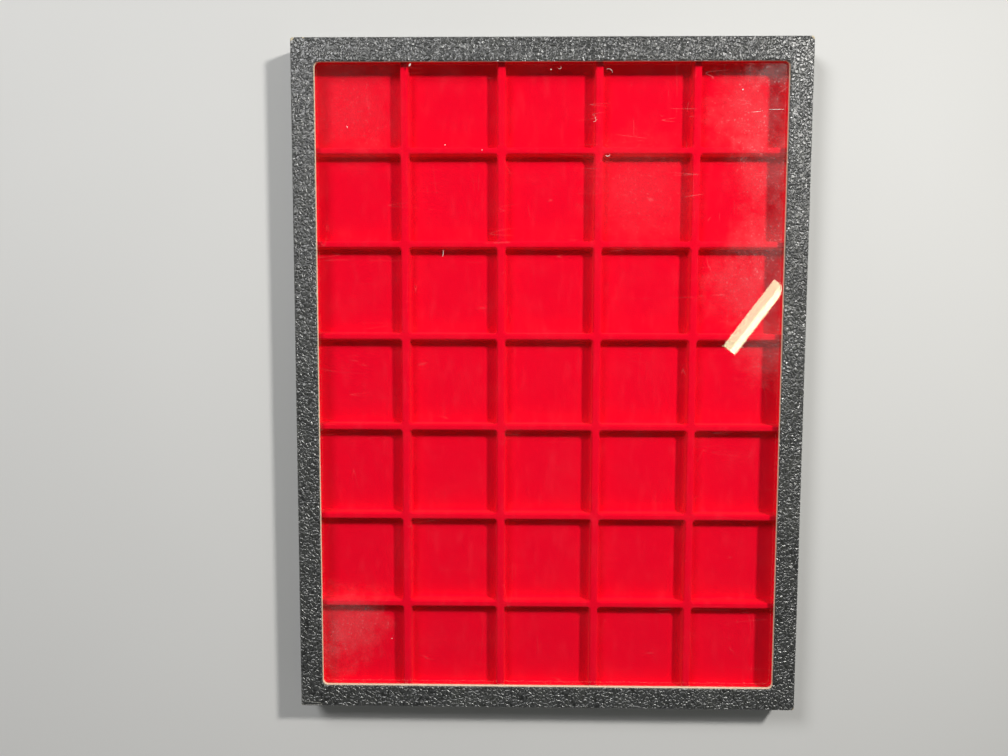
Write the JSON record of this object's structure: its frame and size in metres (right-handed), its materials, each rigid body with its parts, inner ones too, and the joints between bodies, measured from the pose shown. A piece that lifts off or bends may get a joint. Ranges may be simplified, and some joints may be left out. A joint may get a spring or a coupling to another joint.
{
  "type": "coin display case",
  "caption": "Shallow telescoping board box with a glazed lid over a red flocked tray of square coin pockets, on a soft pad.",
  "frame": {"origin": "middle of the underside, with the case closed and lying on its back", "axes": "+X across the case, +Y up its long side, +Z out of the glass"},
  "size_m": [0.3096, 0.4102, 0.019],
  "materials": {
    "cover_paper": "black paper embossed with a leather grain, satin, worn to cream at the corners",
    "under_sheet": "plain black paper, matte",
    "board": "cream chipboard, raw cut edges",
    "gummed_paper": "gummed kraft paper",
    "glass": "clear float glass, dusty and smeared",
    "flocked_sheet": "formed plastic sheet with short red flock",
    "wadding": "white polyester wadding"
  },
  "bodies": {
    "base": {"base_board": "board", "base_wrap": "cover_paper", "base_sheet": "under_sheet", "pad": "wadding", "base_stay_top_left": "gummed_paper", "base_stay_top_right": "gummed_paper", "base_stay_bottom_left": "gummed_paper", "base_stay_bottom_right": "gummed_paper"},
    "tray": {"tray": "flocked_sheet"},
    "lid": {"lid_board": "board", "lid_cover": "cover_paper", "glass_pane": "glass", "lid_stay_top_left": "gummed_paper", "lid_stay_top_right": "gummed_paper", "lid_stay_bottom_left": "gummed_paper", "lid_stay_bottom_right": "gummed_paper", "glass_tape_left": "gummed_paper", "glass_tape_right": "gummed_paper", "glass_tape_top": "gummed_paper", "glass_tape_bottom": "gummed_paper"}
  },
  "joints": [
    {"name": "lid_lift", "type": "slide", "parent": "base", "child": "lid", "axis": [0, 0, 1], "range_m": [0, 0.08]},
    {"name": "tray_lift", "type": "slide", "parent": "base", "child": "tray", "axis": [0, 0, 1], "range_m": [0, 0.02]}
  ],
  "couplings": [
    {"joint": "tray_lift", "follows": "lid_lift", "ratio": 0.25}
  ]
}
